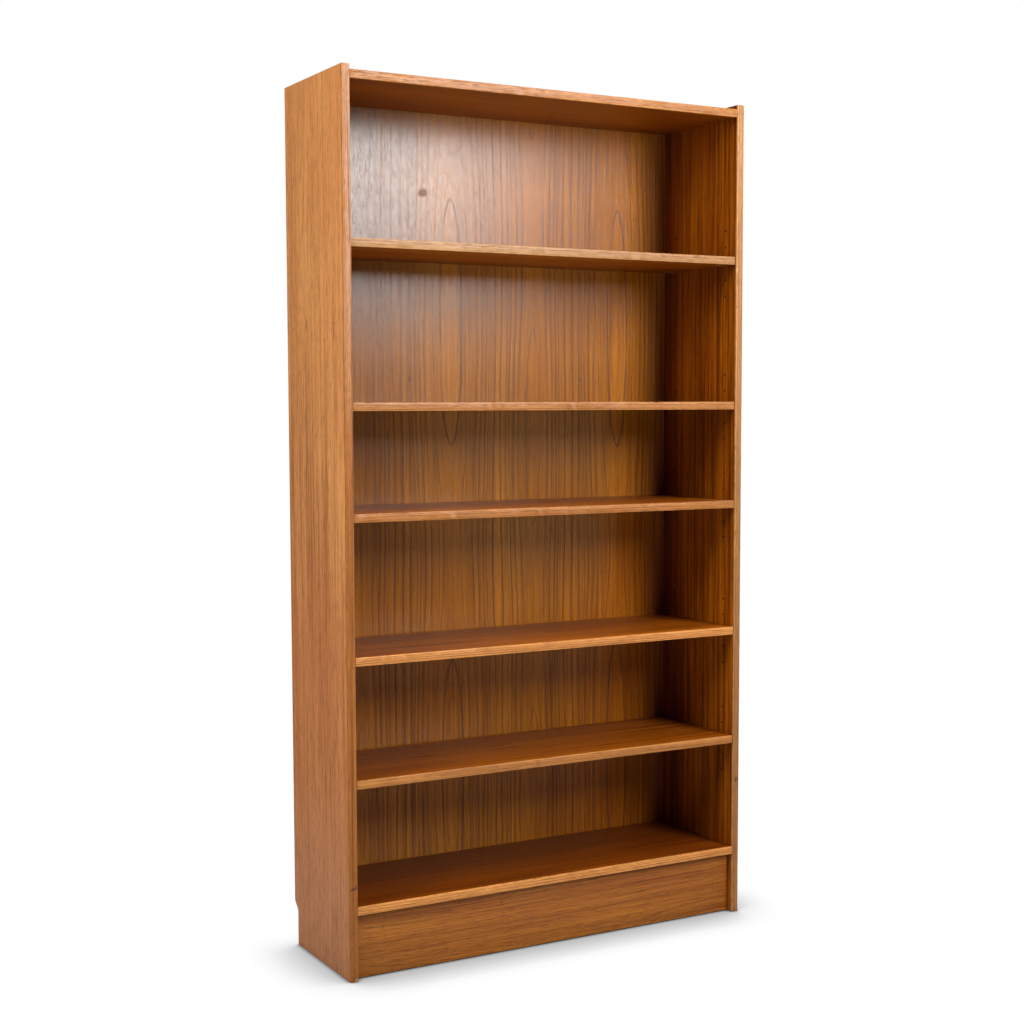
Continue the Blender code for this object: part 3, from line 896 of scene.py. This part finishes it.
def makeShelf(number):
    values = shelfBoard
    node = f"shelf_{number}"
    low, high = nodeBox(node)
    shape = boardBlank(low, high)
    setback = nodeBox(node + "_lipping")[0].y - nodeBox("left_side_lipping")[0].y
    tools = bmesh.new()
    for name, side in sideNames.items():
        end = low.x if side < 0 else high.x
        for column in pinColumns:
            pin = nodeMiddle(f"pin_{number}_{name}_{column}")
            y = pin.y + setback + values["grooveShift"]
            addCopy(tools, grooveTool(end, side, y, low.z, values), Matrix(), 1)
    carved = carve(shape, tools)
    dress(carved, (0, 1, 0), 1)
    dress(carved, (1, 0, 0), 1)
    dress(carved, (-1, 0, 0), 1)
    spots = [((x, y, high.z), size, streakInk, strength)
             for x, y, size, strength in shelfStreaks.get(number, ())]
    finish = teak(f"shelf{number}Teak", "shelf", "XYZ", 70.0 + 5 * number, {"gloss": 0.25, "streaks": 2.7},
                  (low, high), spots)
    addPiece(f"shelf{number}Board", carved, (finish, chipboard(f"shelf{number}Chipboard", number)), node,
             node)


for number in shelfNumbers:
    makeShelf(number)
print("shelves made")


# Pins, dowels and nails

pinShape = {"chamfer": 0.0005, "groove": 0.00025, "grooveWidth": 0.0008, "sides": 32}
flutedDowel = {"chamfer": 0.0010, "flutes": 14, "fluteDepth": 0.0003}
nailShape = {"shank": 0.0007, "head": 0.0018, "headThick": 0.0007, "tip": 0.002, "sides": 20}


def makePins():
    values = pinShape
    steel = brightSteel("pinSteel", steelTones, 3.0)
    for number in shelfNumbers:
        for name, side in sideNames.items():
            for column in pinColumns:
                node = f"pin_{number}_{name}_{column}"
                low, high = nodeBox(node)
                middle = (low + high) / 2
                length = high.x - low.x
                radius = (high.z - low.z) / 2
                waist = length * 0.5
                half = values["grooveWidth"] / 2
                profile = [(0.0, 0.0), (0.0, radius - values["chamfer"]), (values["chamfer"], radius),
                           (waist - half, radius), (waist - half / 2, radius - values["groove"]),
                           (waist + half / 2, radius - values["groove"]), (waist + half, radius),
                           (length - values["chamfer"], radius), (length, radius - values["chamfer"]),
                           (length, 0.0)]
                shape = bmesh.new()
                addCopy(shape, turned(profile, values["sides"]),
                        aimed((low.x, middle.y, middle.z), (1.0, 0.0, 0.0)))
                addPiece(f"pin{number}{name.title()}{column.title()}", shape, (steel,), node,
                         node)


def fluteDowel(low, high, values):
    # a scalloped outline swept along the dowel, with its ends chamfered
    middle = (low + high) / 2
    shape = bmesh.new()
    bmesh.ops.create_circle(shape, cap_ends=True, segments=values["flutes"] * 4,
                            radius=(high.z - low.z) / 2,
                            matrix=aimed((low.x, middle.y, middle.z), (1.0, 0.0, 0.0)))
    for step, vert in enumerate(list(shape.verts)):
        if step % 4 == 0:
            centre = Vector((vert.co.x, middle.y, middle.z))
            vert.co -= (vert.co - centre).normalized() * values["fluteDepth"]
    swept = bmesh.ops.extrude_face_region(shape, geom=list(shape.faces))["geom"]
    moved = [item for item in swept if isinstance(item, bmesh.types.BMVert)]
    bmesh.ops.translate(shape, verts=moved, vec=(high.x - low.x, 0.0, 0.0))
    bmesh.ops.recalc_face_normals(shape, faces=shape.faces)
    rims = [edge for edge in shape.edges if len(edge.link_faces) == 2
            and any(len(face.verts) > 4 for face in edge.link_faces)]
    roundEdges(shape, rims, values["chamfer"], 2)
    return shape


def makeDowels():
    beech = plainWood("dowelBeech", "XYZ", beechTones, 9.0)
    for board in dowelCounts:
        for name in sideNames:
            for index, node in enumerate(dowelNodes(board, name), 1):
                shape = fluteDowel(*nodeBox(node), flutedDowel)
                addPiece(f"dowel{board.title()}{name.title()}{index}", shape, (beech,), caseBody,
                         node)


def makeNails():
    values = nailShape
    steel = brightSteel("nailSteel", nailTones, 6.0)
    for number in nailNumbers:
        node = f"back_nail_{number}"
        low, high = nodeBox(node)
        middle = (low + high) / 2
        length = high.y - low.y
        thick = values["headThick"]
        profile = [(0.0, 0.0), (0.0, values["head"] * 0.6), (thick * 0.3, values["head"] * 0.92),
                   (thick * 0.6, values["head"]), (thick, values["head"] * 0.95), (thick, values["shank"]),
                   (length - values["tip"], values["shank"]), (length, 0.0)]
        shape = bmesh.new()
        addCopy(shape, turned(profile, values["sides"]),
                aimed((middle.x, high.y, middle.z), (0.0, -1.0, 0.0)))
        addPiece(f"backNail{number}", shape, (steel,), caseBody, node, 50)


makePins()
makeDowels()
makeNails()
print("pins, dowels and nails made")


# Floor, light and camera

studio = {
    "floorSize": 40.0, "floorGlow": 1.02, "ambient": 0.06,
    # the contact, hidden and touch values shape the floor's painted contact shadow
    "contactReach": 0.17, "contactBand": (0.45, 1.0), "contactGlow": 0.5,
    "hiddenBand": (0.05, 0.35), "hiddenGlow": 0.05,         # next to nothing under the plinth
    "touchReach": 0.016, "touchBand": (0.35, 0.95), "touchGlow": 0.25,
}
softboxes = {
    "key": {"place": (1.08, -2.75, 2.45), "aim": (0.3, 0.0, 1.40), "size": (0.95, 1.5), "power": 120.0,
            "mirrored": True},
    "side": {"place": (-3.1, -0.80, 2.40), "aim": (-0.4, 0.0, 1.3), "size": (1.0, 1.2), "power": 80.0,
             "mirrored": False},
    "over": {"place": (0.2, -1.4, 4.2), "aim": (0.0, -0.3, 0.0), "size": (3.0, 3.0), "power": 110.0,
             "mirrored": False},
    "card": {"place": (1.70, -2.75, 0.92), "aim": (0.3, 0.0, 1.0), "size": (0.7, 1.3), "power": 5.0,
             "mirrored": True, "tint": (1.0, 0.81, 0.38)},
}
viewer = {"place": (-1.8521, -3.2561, 1.2000), "yaw": 29.282, "pitch": 4.526, "roll": -0.150,
          "sensor": 36.0, "lens": 58.246875, "shift": 0.0236328125, "farthest": 100.0}


def makeFloor():
    # a glowing white sweep, with a painted contact shadow that darkens it only close to what stands on it
    finish = Finish("studioFloor", Roughness=0.8, Specular_IOR_Level=0.0, Emission_Strength=1.0,
                    Base_Color=(0.0, 0.0, 0.0, 1.0))
    openness = finish.add("ShaderNodeAmbientOcclusion", {"samples": 8}, {
        "Distance": studio["contactReach"]}).output("AO")
    glow = openness.fade(*studio["contactBand"], studio["contactGlow"], studio["floorGlow"])
    glow = glow * openness.fade(*studio["hiddenBand"], studio["hiddenGlow"], 1.0)
    touch = finish.add("ShaderNodeAmbientOcclusion", {"samples": 8}, {
        "Distance": studio["touchReach"]}).output("AO")
    glow = glow * touch.fade(*studio["touchBand"], studio["touchGlow"], 1.0)
    finish.set("Emission Color", finish.vector(glow, glow, glow))
    shape = bmesh.new()
    bmesh.ops.create_grid(shape, x_segments=1, y_segments=1, size=studio["floorSize"] / 2)
    mesh = takeMesh("floor", shape)
    mesh.materials.append(finish.material)
    floor = bpy.data.objects.new("floor", mesh)
    floor.visible_glossy = False
    bpy.context.scene.collection.objects.link(floor)


def addSoftbox(name, values):
    light = bpy.data.lights.new(name, "AREA")
    light.shape = "RECTANGLE"
    light.size, light.size_y = values["size"]
    light.energy = values["power"]
    light.color = values.get("tint", (1.0, 1.0, 1.0))
    box = bpy.data.objects.new(name, light)
    box.location = values["place"]
    box.visible_glossy = values["mirrored"]
    aim = Vector(values["aim"]) - Vector(values["place"])
    box.rotation_euler = aim.to_track_quat("-Z", "Y").to_euler()
    bpy.context.scene.collection.objects.link(box)


def makeWorld():
    # a white backdrop for the camera, and a weaker even fill for everything else
    world = bpy.data.worlds.new("studioWorld")
    world.use_nodes = True
    tree = world.node_tree
    path = tree.nodes.new("ShaderNodeLightPath")
    level = tree.nodes.new("ShaderNodeMix")
    level.inputs[2].default_value = studio["ambient"]
    level.inputs[3].default_value = 1.0
    tree.links.new(path.outputs["Is Camera Ray"], level.inputs[0])
    tree.nodes["Background"].inputs["Color"].default_value = (1.0, 1.0, 1.0, 1.0)
    tree.links.new(level.outputs[0], tree.nodes["Background"].inputs["Strength"])
    bpy.context.scene.world = world


def makeCamera():
    data = bpy.data.cameras.new("studioCamera")
    data.sensor_width = viewer["sensor"]
    data.lens = viewer["lens"]
    data.shift_y = viewer["shift"]
    data.clip_end = viewer["farthest"]
    camera = bpy.data.objects.new("studioCamera", data)
    turn = Matrix.Rotation(math.radians(-viewer["yaw"]), 4, "Z")
    tilt = Matrix.Rotation(math.radians(90.0 - viewer["pitch"]), 4, "X")
    roll = Matrix.Rotation(math.radians(viewer["roll"]), 4, "Z")
    camera.matrix_world = Matrix.Translation(viewer["place"]) @ turn @ tilt @ roll
    bpy.context.scene.collection.objects.link(camera)
    bpy.context.scene.camera = camera


makeFloor()
for boxName, boxValues in softboxes.items():
    addSoftbox(boxName + "Softbox", boxValues)
makeWorld()
makeCamera()
bpy.context.scene.view_settings.view_transform = "Standard"
print("stage, light and camera made")
